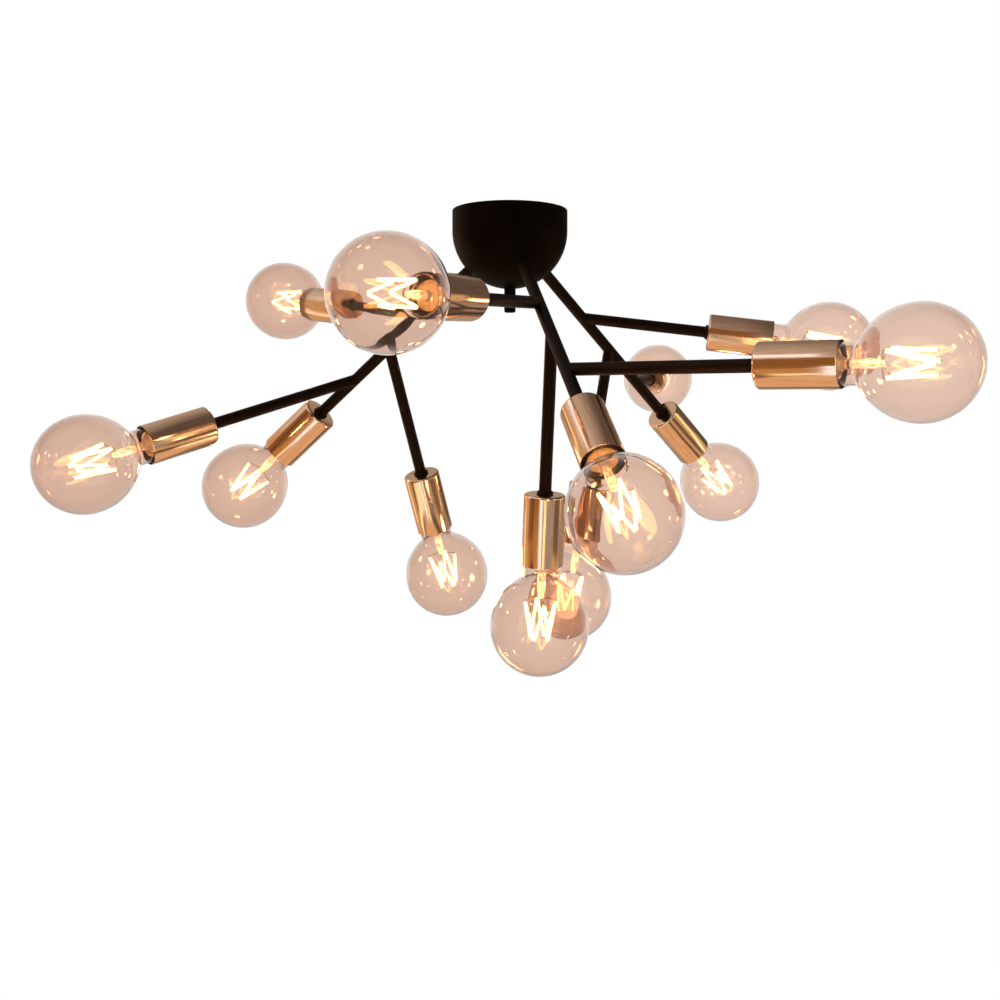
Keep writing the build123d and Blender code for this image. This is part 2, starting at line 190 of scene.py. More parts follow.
def place_mesh(name, points, faces, looks, where, finishes, sharp=35):
    """Makes an object from points in millimetres in a local frame, with a finish number for each face."""
    mesh = bpy.data.meshes.new(name)
    local = [Vector(p) / 1000 for p in points]
    mesh.from_pydata([where @ p for p in local], [], faces)
    for finish in finishes:
        mesh.materials.append(finish)
    mesh.polygons.foreach_set("material_index", looks)
    outward = bmesh.new()
    outward.from_mesh(mesh)
    bmesh.ops.recalc_face_normals(outward, faces=outward.faces)
    outward.to_mesh(mesh)
    outward.free()
    own = mesh.attributes.new("lamp_place", "FLOAT_VECTOR", "POINT")
    own.data.foreach_set("vector", [c for p in local for c in p])
    mesh.shade_smooth()
    mesh.set_sharp_from_angle(angle=math.radians(sharp))
    made = bpy.data.objects.new(name, mesh)
    bpy.context.scene.collection.objects.link(made)
    return made


def turned(name, outline, where, finishes, looks=None, sides=96, closed=True, sharp=35):
    """Revolves (radius, height) points in millimetres.

    A list of radii, one for each side, makes a wavy ring. Looks gives a finish number for each step of
    the outline.
    """
    points, rings = [], []
    for radius, height in outline:
        if radius == 0:
            rings.append([len(points)] * sides)
            points.append((0, 0, height))
        else:
            rings.append(list(range(len(points), len(points) + sides)))
            for i, r in enumerate(radius if isinstance(radius, list) else [radius] * sides):
                turn = 2 * math.pi * i / sides
                points.append((r * math.cos(turn), r * math.sin(turn), height))
    pairs = list(zip(rings, rings[1:] + rings[:1]))
    if not closed:
        pairs = pairs[:-1]
    faces, numbers = [], []
    for step, (low, high) in enumerate(pairs):
        for i in range(sides):
            j = (i + 1) % sides
            corners = [low[i], low[j], high[j], high[i]]
            kept = [c for k, c in enumerate(corners) if c != corners[k - 1]]
            if len(set(kept)) >= 3:
                faces.append(kept)
                numbers.append(looks[step] if looks else 0)
    return place_mesh(name, points, faces, numbers, where, finishes, sharp)


print("quarter arc", [tuple(round(c, 2) for c in p) for p in arc((0, 0), 1, 0, 90, 2)])

# %% [markdown]
# ## Black powder coat
#
# The canopy, tubes, collars and finial are steel with a baked black powder coat. Powder melts into a skin
# with a faint orange-peel texture, which breaks up highlights. A plain black would do from afar, but the
# tubes would lose the soft warm edge that the lamps give them. So the coat comes in two glosses: the
# canopy is matte, and the tubes are a little shinier. Its specular level is low and warm tinted, since
# most of what it mirrors is lamplight, and its peel is drawn 0.7 mm wide.

# %% Powder coat finish


def powder_coat(name, shine):
    # Gives the eye a deep warm black, with a soft sheen only along the side that faces a lamp.
    coat, tree = finish_named(name)
    place = add(tree, "ShaderNodeTexCoord").outputs["Object"]
    patches = add(tree, "ShaderNodeTexNoise",
                  {"Vector": place, "Scale": cells_per_metre(18), "Detail": 3.0})
    peel = add(tree, "ShaderNodeTexNoise",
               {"Vector": place, "Scale": cells_per_metre(0.7), "Detail": 2.0})
    shade = add(tree, "ShaderNodeMix", {0: patches, 6: linear("#030201"), 7: linear("#060302")},
                data_type="RGBA")
    gloss = add(tree, "ShaderNodeMapRange", {"Value": patches, "To Min": 0.42, "To Max": 0.58})
    skin = add(tree, "ShaderNodeBump", {"Height": peel, "Strength": 0.25, "Distance": 0.00006})
    body = add(tree, "ShaderNodeBsdfPrincipled",
               {"Base Color": shade.outputs[2], "Roughness": gloss, "Specular IOR Level": shine,
                "Specular Tint": linear("#FFBE96"), "Normal": skin})
    add(tree, "ShaderNodeOutputMaterial", {"Surface": body})
    return coat


black_coat = powder_coat("matte_black_powder_coat", 0.05)
tube_coat = powder_coat("satin_black_powder_coat", 0.2)
paint(["canopy", "finial_nut"], black_coat)
paint(["tube_collars"], tube_coat)
paint([f"arm_{piece}_{k}" for piece in ("stem", "branches") for k in (1, 2, 3)], tube_coat)
print(black_coat.name, tube_coat.name)

# %% [markdown]
# ## Satin brass
#
# The cups are drawn brass, brushed lightly along their length and lacquered. Brushing leaves fine
# lengthwise scratches, so bright and dark parts of the room are drawn out into bands along the cup. An
# anisotropic shader could smear the light by itself, but a noise that is stretched along the cup also
# shows the single scratches. The copper-rich alloy is warmer than yellow brass. Real scratches are about
# 0.05 mm wide; they are drawn 0.35 mm wide here, because finer ones don't show at this picture's size.

# %% Satin brass finish
SCRATCH_STRETCH = (1.0, 1.0, 0.012)


def satin_brass():
    # Gives the eye warm bands of the room along the cup, softened and streaked by the brushing.
    brass, tree = finish_named("satin_brushed_brass")
    place = add(tree, "ShaderNodeAttribute", attribute_name="lamp_place").outputs["Vector"]
    along = add(tree, "ShaderNodeVectorMath", {0: place, 1: SCRATCH_STRETCH}, operation="MULTIPLY")
    scratch = add(tree, "ShaderNodeTexNoise",
                  {"Vector": along, "Scale": cells_per_metre(0.35), "Detail": 3.0, "Roughness": 0.6})
    cloud = add(tree, "ShaderNodeTexNoise",
                {"Vector": place, "Scale": cells_per_metre(9), "Detail": 2.0})
    worn = add(tree, "ShaderNodeMapRange", {"Value": scratch, "From Min": 0.32, "From Max": 0.68})
    tone = add(tree, "ShaderNodeMix", {0: worn, 6: linear("#D3AC89"), 7: linear("#F5D3B5")},
               data_type="RGBA")
    blur = add(tree, "ShaderNodeMapRange", {"Value": cloud, "To Min": 0.13, "To Max": 0.19})
    groove = add(tree, "ShaderNodeBump", {"Height": scratch, "Strength": 0.3, "Distance": 0.00002})
    body = add(tree, "ShaderNodeBsdfPrincipled",
               {"Base Color": tone.outputs[2], "Metallic": 1.0, "Roughness": blur, "Normal": groove})
    add(tree, "ShaderNodeOutputMaterial", {"Surface": body})
    return brass


cup_brass = satin_brass()
print(cup_brass.name)

# %% [markdown]
# ## The cups
#
# Each cup is a sleeve 40 mm across and 69 mm long, with a round edge where the flat base meets the side
# and a fine rolled lip at the mouth. Its inside and the inner half of the lip get the black powder coat
# finish, which widens the dark ring at the mouth. The CAD cups could stay, but a mirror-like cylinder
# shows every flat, so the cups are turned here with more sides than the solids have.

# %% Turn the cups
CUP_R, CUP_L, CUP_WALL, CUP_BASE, CUP_EDGE, CUP_HOLE = 20.0, 69.0, 0.8, 2.0, 2.4, 5.05
LIP_R, EDGE_RUN = 0.25, 0.2
BRASS, BLACK = 0, 1

bore_r = CUP_R - CUP_WALL
cup_inside = [(bore_r, -CUP_L + CUP_BASE)]
cup_inside += arc((bore_r + LIP_R, -LIP_R), LIP_R, 180, 90, 3)
cup_outside = arc((CUP_R - LIP_R, -LIP_R), LIP_R, 90, 0, 3)
cup_outside += [(CUP_R, -CUP_L / 2), (CUP_R, -CUP_L + CUP_EDGE + EDGE_RUN)]
cup_outside += arc((CUP_R - CUP_EDGE, -CUP_L + CUP_EDGE), CUP_EDGE, 0, -90, 8)
cup_outside += [(CUP_HOLE, -CUP_L), (CUP_HOLE, -CUP_L + CUP_BASE)]
cup_looks = [BLACK] * len(cup_inside) + [BRASS] * len(cup_outside)
for tag, where in lamps.items():
    cup = turned(f"cup_{tag}", cup_inside + cup_outside, where, [cup_brass, black_coat], cup_looks,
                 sides=128)
    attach(cup, "frame")
    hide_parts(f"brass_cups_{tag[0]}")
print("cups", len(lamps), "outline points", len(cup_looks))

# %% [markdown]
# ## Lampholders
#
# Inside each cup is a black holder moulded in phenolic resin, which is hard, slightly glossy and never
# quite even in tone. Its coned mouth leads the lamp in, and widens the dark ring at the mouth of the cup.
# The solids are right, so they stay and get this finish.

# %% Phenolic finish


def phenolic():
    # Gives the eye a black that is glossier than the coat, with faint flow marks of the moulding.
    resin, tree = finish_named("moulded_black_phenolic")
    place = add(tree, "ShaderNodeTexCoord").outputs["Object"]
    flow = add(tree, "ShaderNodeTexNoise", {"Vector": place, "Scale": cells_per_metre(4), "Detail": 4.0})
    shade = add(tree, "ShaderNodeMix", {0: flow, 6: linear("#040302"), 7: linear("#0A0706")},
                data_type="RGBA")
    gloss = add(tree, "ShaderNodeMapRange", {"Value": flow, "To Min": 0.28, "To Max": 0.42})
    body = add(tree, "ShaderNodeBsdfPrincipled",
               {"Base Color": shade.outputs[2], "Roughness": gloss, "Specular IOR Level": 0.2})
    add(tree, "ShaderNodeOutputMaterial", {"Surface": body})
    return resin


holder_resin = phenolic()
paint([f"lampholders_{k}" for k in (1, 2, 3)], holder_resin)
print(holder_resin.name)

# %% [markdown]
# ## Bare and plated metals
#
# The screw shells in the holders are pressed brass, and the hardware inside the canopy is zinc-plated
# steel. Each metal could have a finish of its own, but they differ only in colour, gloss and the size of
# their grain. One function makes them all, here and later for the lamp caps and wires.

# %% Sheet metal finishes


def sheet_metal(name, dark, light, smooth, rough, grain_mm):
    # Gives the eye a plain metal whose tone and gloss vary with the grain of its surface.
    metal, tree = finish_named(name)
    place = add(tree, "ShaderNodeTexCoord").outputs["Object"]
    grain = add(tree, "ShaderNodeTexNoise",
                {"Vector": place, "Scale": cells_per_metre(grain_mm), "Detail": 4.0})
    tone = add(tree, "ShaderNodeMix", {0: grain, 6: linear(dark), 7: linear(light)}, data_type="RGBA")
    gloss = add(tree, "ShaderNodeMapRange", {"Value": grain, "To Min": smooth, "To Max": rough})
    skin = add(tree, "ShaderNodeBump", {"Height": grain, "Strength": 0.2, "Distance": 0.00003})
    body = add(tree, "ShaderNodeBsdfPrincipled",
               {"Base Color": tone.outputs[2], "Metallic": 1.0, "Roughness": gloss, "Normal": skin})
    add(tree, "ShaderNodeOutputMaterial", {"Surface": body})
    return metal


contact_brass = sheet_metal("pressed_brass_sheet", "#B98436", "#DCA955", 0.2, 0.32, 2.5)
zinc_plate = sheet_metal("zinc_plated_steel", "#8F9294", "#B4B6B4", 0.3, 0.46, 5)
paint([f"holder_contacts_{k}" for k in (1, 2, 3)], contact_brass)
paint(["ceiling_bracket", "centre_rod", "rod_lock_nut", "arm_washers", "arm_nuts"], zinc_plate)
print(contact_brass.name, zinc_plate.name)

# %% [markdown]
# ## Terminal block
#
# The block under the bracket is moulded nylon, a pale, slightly waxy plastic. It is only seen from above
# or with the canopy down, so it could stay plain, but it is finished like the rest.

# %% Nylon finish


def nylon():
    # Gives the eye a cream plastic with a dull, slightly cloudy shine.
    plastic, tree = finish_named("moulded_natural_nylon")
    place = add(tree, "ShaderNodeTexCoord").outputs["Object"]
    cloud = add(tree, "ShaderNodeTexNoise", {"Vector": place, "Scale": cells_per_metre(6), "Detail": 3.0})
    tone = add(tree, "ShaderNodeMix", {0: cloud, 6: linear("#CFCBBD"), 7: linear("#E2DFD3")},
               data_type="RGBA")
    gloss = add(tree, "ShaderNodeMapRange", {"Value": cloud, "To Min": 0.38, "To Max": 0.52})
    body = add(tree, "ShaderNodeBsdfPrincipled",
               {"Base Color": tone.outputs[2], "Roughness": gloss, "IOR": 1.53})
    add(tree, "ShaderNodeOutputMaterial", {"Surface": body})
    return plastic


paint(["terminal_block"], nylon())
print("terminal block finished")

# %% [markdown]
# ## Globe glass
#
# The globes are thin blown glass with a rose tint and a thin lustre on its faces. Plain glass has an IOR
# of 1.5; the lustre mirrors more, so 1.65 is used. Blown glass this thin hardly bends what is behind it,
# so the look comes from the tint, which is passed four times, and from the bright specks that the lamps
# leave on both faces of the wall. The globes towards +X are a little paler, and the wall has gentle waves
# about 14 mm long. Grains of dust, drawn 0.25 mm wide so that they show, blur a small share of the light.
# Shadow rays could be traced through the glass too, but that leaves it grainy and dark, so they pass it
# as if it were a plain coloured film.

# %% Tinted glass finish
# Metres along X.
PALE_FROM, PALE_TO = -0.15, 0.4


def clear_to_lamps(tree, glass, tint):
    """The glass, but a plain coloured film to the rays that look for a lamp."""
    film = add(tree, "ShaderNodeBsdfTransparent", {"Color": linear(tint)})
    shadow = add(tree, "ShaderNodeLightPath").outputs["Is Shadow Ray"]
    return add(tree, "ShaderNodeMixShader", {0: shadow, 1: glass, 2: film})


def tinted_glass():
    # Gives the eye a rosy ball with a dark fine rim, and mirrored lamps as sharp specks.
    glass, tree = finish_named("rose_tinted_blown_glass")
    place = add(tree, "ShaderNodeAttribute", attribute_name="lamp_place").outputs["Vector"]
    dust = add(tree, "ShaderNodeTexNoise",
               {"Vector": place, "Scale": cells_per_metre(0.25), "Detail": 1.0})
    haze = add(tree, "ShaderNodeMapRange",
               {"Value": dust, "From Min": 0.7, "From Max": 0.76, "To Min": 0.0, "To Max": 0.3})
    waves = add(tree, "ShaderNodeTexNoise",
                {"Vector": place, "Scale": cells_per_metre(14), "Detail": 0.0})
    blown = add(tree, "ShaderNodeBump", {"Height": waves, "Strength": 1.0, "Distance": 0.00004})
    spot = add(tree, "ShaderNodeSeparateXYZ", {0: add(tree, "ShaderNodeNewGeometry")})
    across = add(tree, "ShaderNodeMapRange",
                 {"Value": spot.outputs["X"], "From Min": PALE_FROM, "From Max": PALE_TO})
    tint = add(tree, "ShaderNodeMix", {0: across, 6: linear("#F5E0D3"), 7: linear("#FDEBE0")},
               data_type="RGBA")
    body = add(tree, "ShaderNodeBsdfPrincipled",
               {"Base Color": tint.outputs[2], "Transmission Weight": 1.0, "IOR": 1.65,
                "Roughness": haze, "Normal": blown})
    add(tree, "ShaderNodeOutputMaterial", {"Surface": clear_to_lamps(tree, body, "#F0DDD2")})
    return glass


globe_glass = tinted_glass()
print(globe_glass.name)

# %% [markdown]
# ## The globes
#
# A globe is a 95 mm ball with a short straight neck that runs into the cup. The neck meets the ball in
# a small hollow curve, and inside the cup it draws in to the width of the screw cap. One skin would be
# enough for plain looks, but glass only looks like glass when light enters it and leaves it again, so both
# faces of the wall are turned.

# %% Blow the globes
GLASS_WALL, NECK_R, NECK_BLEND, SHOULDER_OFFSET = 1.0, 17.6, 5.0, 6.5
FOOT_R, FOOT_LEVEL, FOOT_START = 1.2, 0.5, -55
CAP_R, CAP_TOP = 13.2, 2.4


def glass_outline(inset):
    """One face of the glass from the cap's edge up the neck and over the globe to its crown."""
    neck, ball, hollow_r = NECK_R - inset, GLOBE_R - inset, NECK_BLEND + inset
    shoulder_r = ball + SHOULDER_OFFSET
    reach = neck + hollow_r + SHOULDER_OFFSET
    drop = math.sqrt((shoulder_r + hollow_r) ** 2 - reach ** 2)
    lean = math.degrees(math.atan2(drop, reach))
    foot = arc((neck - FOOT_R, FOOT_LEVEL), FOOT_R, FOOT_START, 0, 4)
    hollow = arc((neck + hollow_r, GLOBE_OUT - drop), hollow_r, 180, 180 - lean, 8)
    shoulder = arc((-SHOULDER_OFFSET, GLOBE_OUT), shoulder_r, -lean, 0, 20)
    globe = arc((0, GLOBE_OUT), ball, 0, 90, 26)
    globe[-1] = (0, GLOBE_OUT + ball)
    return [(CAP_R - inset, -CAP_TOP)] + foot + hollow + shoulder[1:] + globe[1:]


glass_wall = glass_outline(0) + glass_outline(GLASS_WALL)[::-1]
for tag, where in lamps.items():
    globe = turned(f"globe_{tag}", glass_wall, where, [globe_glass], sides=112, sharp=60)
    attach(globe, f"bulb_{tag}")
    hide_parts(f"bulb_{tag}_globe")
print("globes", len(lamps), "outline points", len(glass_wall))

# %% [markdown]
# ## Finishes of a screw cap
#
# The cap is thin brass, nickel plated. Below it a cone of black glass insulates the soldered centre tip.
# Baked cement holds the cap on the neck, and it is what glows amber when one looks into a lit cup. The
# lamplight that soaks through the glass to it would take many bounces to render, so the cement gives off
# a little light of its own.

# %% Insulator and cement finishes


def black_glass():
    # Gives the eye a wet, almost black shine with a slow swirl.
    vitrite, tree = finish_named("fused_black_insulator_glass")
    place = add(tree, "ShaderNodeAttribute", attribute_name="lamp_place").outputs["Vector"]
    swirl = add(tree, "ShaderNodeTexNoise", {"Vector": place, "Scale": cells_per_metre(3), "Detail": 2.0})
    tone = add(tree, "ShaderNodeMix", {0: swirl, 6: linear("#0A0A0E"), 7: linear("#1B1A22")},
               data_type="RGBA")
    gloss = add(tree, "ShaderNodeMapRange", {"Value": swirl, "To Min": 0.08, "To Max": 0.2})
    body = add(tree, "ShaderNodeBsdfPrincipled",
               {"Base Color": tone.outputs[2], "Roughness": gloss, "IOR": 1.52})
    add(tree, "ShaderNodeOutputMaterial", {"Surface": body})
    return vitrite


def capping_cement():
    # Gives the eye a crumbly amber disc that glows at the bottom of the neck.
    cement, tree = finish_named("baked_capping_cement")
    place = add(tree, "ShaderNodeAttribute", attribute_name="lamp_place").outputs["Vector"]
    crumb = add(tree, "ShaderNodeTexNoise",
                {"Vector": place, "Scale": cells_per_metre(2.5), "Detail": 3.0})
    spread = add(tree, "ShaderNodeMapRange", {"Value": crumb, "From Min": 0.36, "From Max": 0.62})
    tone = add(tree, "ShaderNodeMix", {0: spread, 6: linear("#C48E34"), 7: linear("#FFEB9C")},
               data_type="RGBA")
    body = add(tree, "ShaderNodeBsdfPrincipled",
               {"Base Color": tone.outputs[2], "Roughness": 0.6,
                "Emission Color": linear("#FFAE30"), "Emission Strength": 0.28})
    add(tree, "ShaderNodeOutputMaterial", {"Surface": body})
    return cement


cap_nickel = sheet_metal("nickel_plated_cap", "#A79B88", "#CFC5B2", 0.16, 0.28, 1.6)
tip_solder = sheet_metal("soldered_tip", "#8C8B88", "#B0AFAB", 0.3, 0.5, 0.8)
cap_finishes = [cap_nickel, black_glass(), tip_solder, capping_cement()]
print([finish.name for finish in cap_finishes])

# %% [markdown]
# ## Screw caps
#
# The thread is rolled into the thin cap, so it is a smooth wave and not a cut groove. It could be a swept
# profile, but a lathe whose rings are wavy makes the same shape in one closed skin: the wave's place round
# the ring moves on with depth, and winds round once in 3.6 mm. The cap hides in the cup, and shows when a
# lamp is drawn out.

# %% Roll the cap threads
THREAD_PITCH, THREAD_DEPTH, THREAD_L = 3.62, 0.9, 19.0
THREAD_RUN_IN, THREAD_RUN_OUT = 3.0, 1.5
THREAD_STEPS, THREAD_SIDES = 84, 72
CAP_SEAT = 0.05
CAP_EDGE = -CAP_TOP - CAP_SEAT
THREAD_END = CAP_EDGE - THREAD_L
INSULATOR_R, TIP_R, TIP_BEVEL_R, TIP_FACE_R = 11.7, 5.0, 4.4, 2.6
TIP_TOP, TIP_END = THREAD_END - 5.0, THREAD_END - 6.5
TIP_RIM, TIP_BEVEL = 0.6, 0.2
NICKEL, INSULATOR, SOLDER, CEMENT = range(4)


def thread_ring(depth):
    """Radii round the rolled thread at this depth below the cap's top edge."""
    fade = min(1.0, depth / THREAD_RUN_IN, (THREAD_L - depth) / THREAD_RUN_OUT)
    turns = [depth / THREAD_PITCH - i / THREAD_SIDES for i in range(THREAD_SIDES)]
    return [CAP_R - THREAD_DEPTH * fade * (0.5 + 0.5 * math.cos(2 * math.pi * turn)) for turn in turns]


depths = [THREAD_L * row / THREAD_STEPS for row in range(THREAD_STEPS + 1)]
thread_outline = [(thread_ring(depth), CAP_EDGE - depth) for depth in depths]
tip_outline = [(TIP_R, TIP_TOP), (TIP_R, TIP_TOP - TIP_RIM), (TIP_BEVEL_R, TIP_END + TIP_BEVEL),
               (TIP_FACE_R, TIP_END), (0, TIP_END)]
cap_outline = [(0, CAP_EDGE)] + thread_outline + [(INSULATOR_R, THREAD_END)] + tip_outline
cap_looks = [CEMENT] + [NICKEL] * len(thread_outline) + [INSULATOR] + [SOLDER] * (len(tip_outline) - 1)
for tag, where in lamps.items():
    cap = turned(f"cap_{tag}", cap_outline, where, cap_finishes, cap_looks, sides=THREAD_SIDES,
                 closed=False, sharp=60)
    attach(cap, f"bulb_{tag}")
    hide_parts(f"bulb_{tag}_cap")
print("caps", len(lamps), "rings each", len(cap_outline))

# %% [markdown]
# ## Seen, cast and mirrored light
#
# A lit filament is far brighter than paper white. A camera cuts that off, so a filament that is seen looks
# cream white at its edges, while the light that it casts on the cups is still strong. Its image in a wall
# of glass is fainter and more amber. One strength and colour can't give all three looks, so two helpers
# tell from the kind of ray which one is wanted. A ray that bounced off a mirror-like face may then pass
# through glass and count as a transmission ray, so the bounces are read from its glossy depth.

# %% Ray helpers


def seen_ray(tree):
    """An output that is 1 for rays from the camera, or let through by glass, and 0 for all others."""
    path = add(tree, "ShaderNodeLightPath").outputs
    return add(tree, "ShaderNodeMath", {0: path["Is Camera Ray"], 1: path["Is Transmission Ray"]},
               operation="MAXIMUM").outputs[0]


def mirrored_ray(tree):
    """An output that is 1 for rays that a mirror-like bounce has sent on, and 0 for all others."""
    path = add(tree, "ShaderNodeLightPath").outputs
    bounced = add(tree, "ShaderNodeMath", {0: path["Glossy Depth"], 1: 0.5}, operation="GREATER_THAN")
    return add(tree, "ShaderNodeMath", {0: bounced, 1: path["Is Diffuse Ray"]}, operation="SUBTRACT",
               use_clamp=True).outputs[0]


print("rays told apart by", seen_ray.__name__, mirrored_ray.__name__)

# %% [markdown]
# ## Stem glass
#
# A flared stem of clear drawn glass carries the filaments. It pipes some of their light down towards the
# cap, which shows as streaks in the glass. Tracing that would need clean caustics, so the streaks give off
# a little light instead, and fade out above the flare.

# %% Stem glass finish
# The light fades between these heights, in metres above the cup's mouth.
PIPED_FROM, PIPED_TO = 0.007, 0.016
STREAK_STRETCH = (1.0, 1.0, 0.3)


def stem_glass():
    # Gives the eye a clear rod with bright warm streaks that fade towards the flare.
    clear, tree = finish_named("drawn_clear_stem_glass")
    place = add(tree, "ShaderNodeAttribute", attribute_name="lamp_place").outputs["Vector"]
    draw = add(tree, "ShaderNodeTexNoise", {"Vector": place, "Scale": cells_per_metre(3), "Detail": 2.0})
    gloss = add(tree, "ShaderNodeMapRange", {"Value": draw, "To Min": 0.0, "To Max": 0.12})
    height = add(tree, "ShaderNodeSeparateXYZ", {0: place}).outputs["Z"]
    piped = add(tree, "ShaderNodeMapRange",
                {"Value": height, "From Min": PIPED_FROM, "From Max": PIPED_TO})
    drawn = add(tree, "ShaderNodeVectorMath", {0: place, 1: STREAK_STRETCH}, operation="MULTIPLY")
    streak = add(tree, "ShaderNodeTexNoise",
                 {"Vector": drawn, "Scale": cells_per_metre(2.2), "Detail": 2.0})
    glint = add(tree, "ShaderNodeMapRange",
                {"Value": streak, "From Min": 0.42, "From Max": 0.62, "To Min": 0.1, "To Max": 2.2})
    glow = add(tree, "ShaderNodeMath", {0: piped, 1: glint}, operation="MULTIPLY")
    body = add(tree, "ShaderNodeBsdfPrincipled",
               {"Base Color": linear("#FBF1E4"), "Transmission Weight": 0.85, "IOR": 1.5,
                "Roughness": gloss, "Emission Color": linear("#FFD08C"), "Emission Strength": glow})
    add(tree, "ShaderNodeOutputMaterial", {"Surface": clear_to_lamps(tree, body, "#FFFFFF")})
    return clear


mount_glass = stem_glass()
print(mount_glass.name)

# %% [markdown]
# ## Lit phosphor
#
# The lit part is eight filament sticks, each a strip of tiny diodes under a yellow phosphor coat, on thin
# nickel wires. Hidden lamps inside the globes could light the scene, but the sticks give their own light,
# so it falls from where it should. It is warm as that of a lamp of about 2200 K.

# %% Phosphor and wire finishes
CAST_POWER, SHOWN_POWER = 30.0, 7.0


def lit_phosphor():
    # Gives the eye a white-hot stick with a golden edge, and amber images of it in the glass.
    phosphor, tree = finish_named("lit_phosphor_strip")
    place = add(tree, "ShaderNodeAttribute", attribute_name="lamp_place").outputs["Vector"]
    grains = add(tree, "ShaderNodeTexNoise", {"Vector": place, "Scale": cells_per_metre(1), "Detail": 2.0})
    tone = add(tree, "ShaderNodeMix", {0: grains, 6: linear("#F2B950"), 7: linear("#FFD98A")},
               data_type="RGBA")
    mirrored = mirrored_ray(tree)
    shown = add(tree, "ShaderNodeMath", {0: seen_ray(tree), 1: mirrored}, operation="MAXIMUM")
    power = add(tree, "ShaderNodeMapRange", {"Value": shown, "To Min": CAST_POWER, "To Max": SHOWN_POWER})
    light = add(tree, "ShaderNodeMix", {0: mirrored, 6: linear("#FFCB86"), 7: linear("#FFB468")},
                data_type="RGBA")
    body = add(tree, "ShaderNodeBsdfPrincipled",
               {"Base Color": tone.outputs[2], "Roughness": 0.5, "Emission Color": light.outputs[2],
                "Emission Strength": power})
    add(tree, "ShaderNodeOutputMaterial", {"Surface": body})
    return phosphor


filament_light = lit_phosphor()
wire_nickel = sheet_metal("nickel_support_wire", "#8E8778", "#B9B0A0", 0.25, 0.4, 1.0)
print(filament_light.name, wire_nickel.name)

# %% [markdown]
# ## Filament sticks and wires
#
# The eight sticks lean to and fro between four points near the stem's bead and four points near the
# globe's crown, and so make a zigzag crown. They could be curves with a bevel, but a straight rod between
# two places is as short to write and gives one clean closed mesh. The wires are the same rods, thinner:
# four arms from the bead, and a short lead at both ends of each stick.

# %% Rods of the crown
CROWN_POINTS, CROWN_TOP, CROWN_BOTTOM, CROWN_TOP_R, CROWN_BOTTOM_R = 4, 35.0, 75.0, 15.5, 9.8
STICK_R, STICK_END_R, WIRE_R = 1.3, 0.78, 0.35
BARE_SHARE, LEAD_SHARE = 0.04, 0.05
BEAD_LEVEL = 31.0


def spoke(angle, radius, height):
    turn = math.radians(angle)
    return Vector((radius * math.cos(turn), radius * math.sin(turn), height))


def rod(start, end, outline, sides):
    """Points and faces of a rod between two places, its outline given as (share of length, radius)."""
    along = (end - start).normalized()
    across = along.orthogonal().normalized()
    other = along.cross(across)
    points, faces = [], []
    for share, radius in outline:
        middle = start + (end - start) * share
        for i in range(sides):
            turn = 2 * math.pi * i / sides
            points.append(middle + (across * math.cos(turn) + other * math.sin(turn)) * radius)
    for row in range(len(outline) - 1):
        for i in range(sides):
            j = (i + 1) % sides
            faces.append((row * sides + i, row * sides + j, (row + 1) * sides + j, (row + 1) * sides + i))
    faces.append(tuple(range(sides))[::-1])
    faces.append(tuple(range((len(outline) - 1) * sides, len(outline) * sides)))
    return points, faces


def joined(rods):
    """The points and faces of several rods as one mesh."""
    points, faces = [], []
    for rod_points, rod_faces in rods:
        faces += [tuple(c + len(points) for c in face) for face in rod_faces]
        points += rod_points
    return points, faces


step = 360 / CROWN_POINTS
tops = [spoke(step * i, CROWN_TOP_R, CROWN_TOP) for i in range(CROWN_POINTS)]
bottoms = [spoke(step * (i + 0.5), CROWN_BOTTOM_R, CROWN_BOTTOM) for i in range(CROWN_POINTS)]
legs = [(tops[i], bottoms[i - side]) for i in range(CROWN_POINTS) for side in (0, 1)]
stick_outline = [(BARE_SHARE, STICK_END_R), (LEAD_SHARE, STICK_R), (1 - LEAD_SHARE, STICK_R),
                 (1 - BARE_SHARE, STICK_END_R)]
sticks = joined([rod(top, bottom, stick_outline, 12) for top, bottom in legs])
bead = Vector((0, 0, BEAD_LEVEL))
leads = [(start, start.lerp(end, LEAD_SHARE)) for leg in legs for start, end in (leg, leg[::-1])]
wire_outline = [(0.0, WIRE_R), (1.0, WIRE_R)]
wires = joined([rod(start, end, wire_outline, 8) for start, end in [(bead, top) for top in tops] + leads])
print("sticks", len(legs), "wires", len(tops) + len(leads))

# %% [markdown]
# ## Filament mounts
#
# The stem is a drawn glass tube, flared at its foot, where it is melted to the neck, and pinched at its
# top to a bead that grips the wires. It is turned like the globe. The stem, the sticks and the wires could
# be one piece, but they stay three, each with its own finish, and all three stand for the CAD filament.

# %% Turn the stems and place the crowns
STEM_R, STEM_TOP, FLARE_R, FLARE_RIM, FOOT_LIFT = 4.0, 24.0, 8.0, 0.4, 0.2
TAPER_R, TAPER_LEVEL, PINCH_R, PINCH_LEVEL = 3.6, 27.0, 2.6, 29.0
BEAD_R, BEAD_SHOULDER, BEAD_TOP = 3.2, 33.0, 34.0

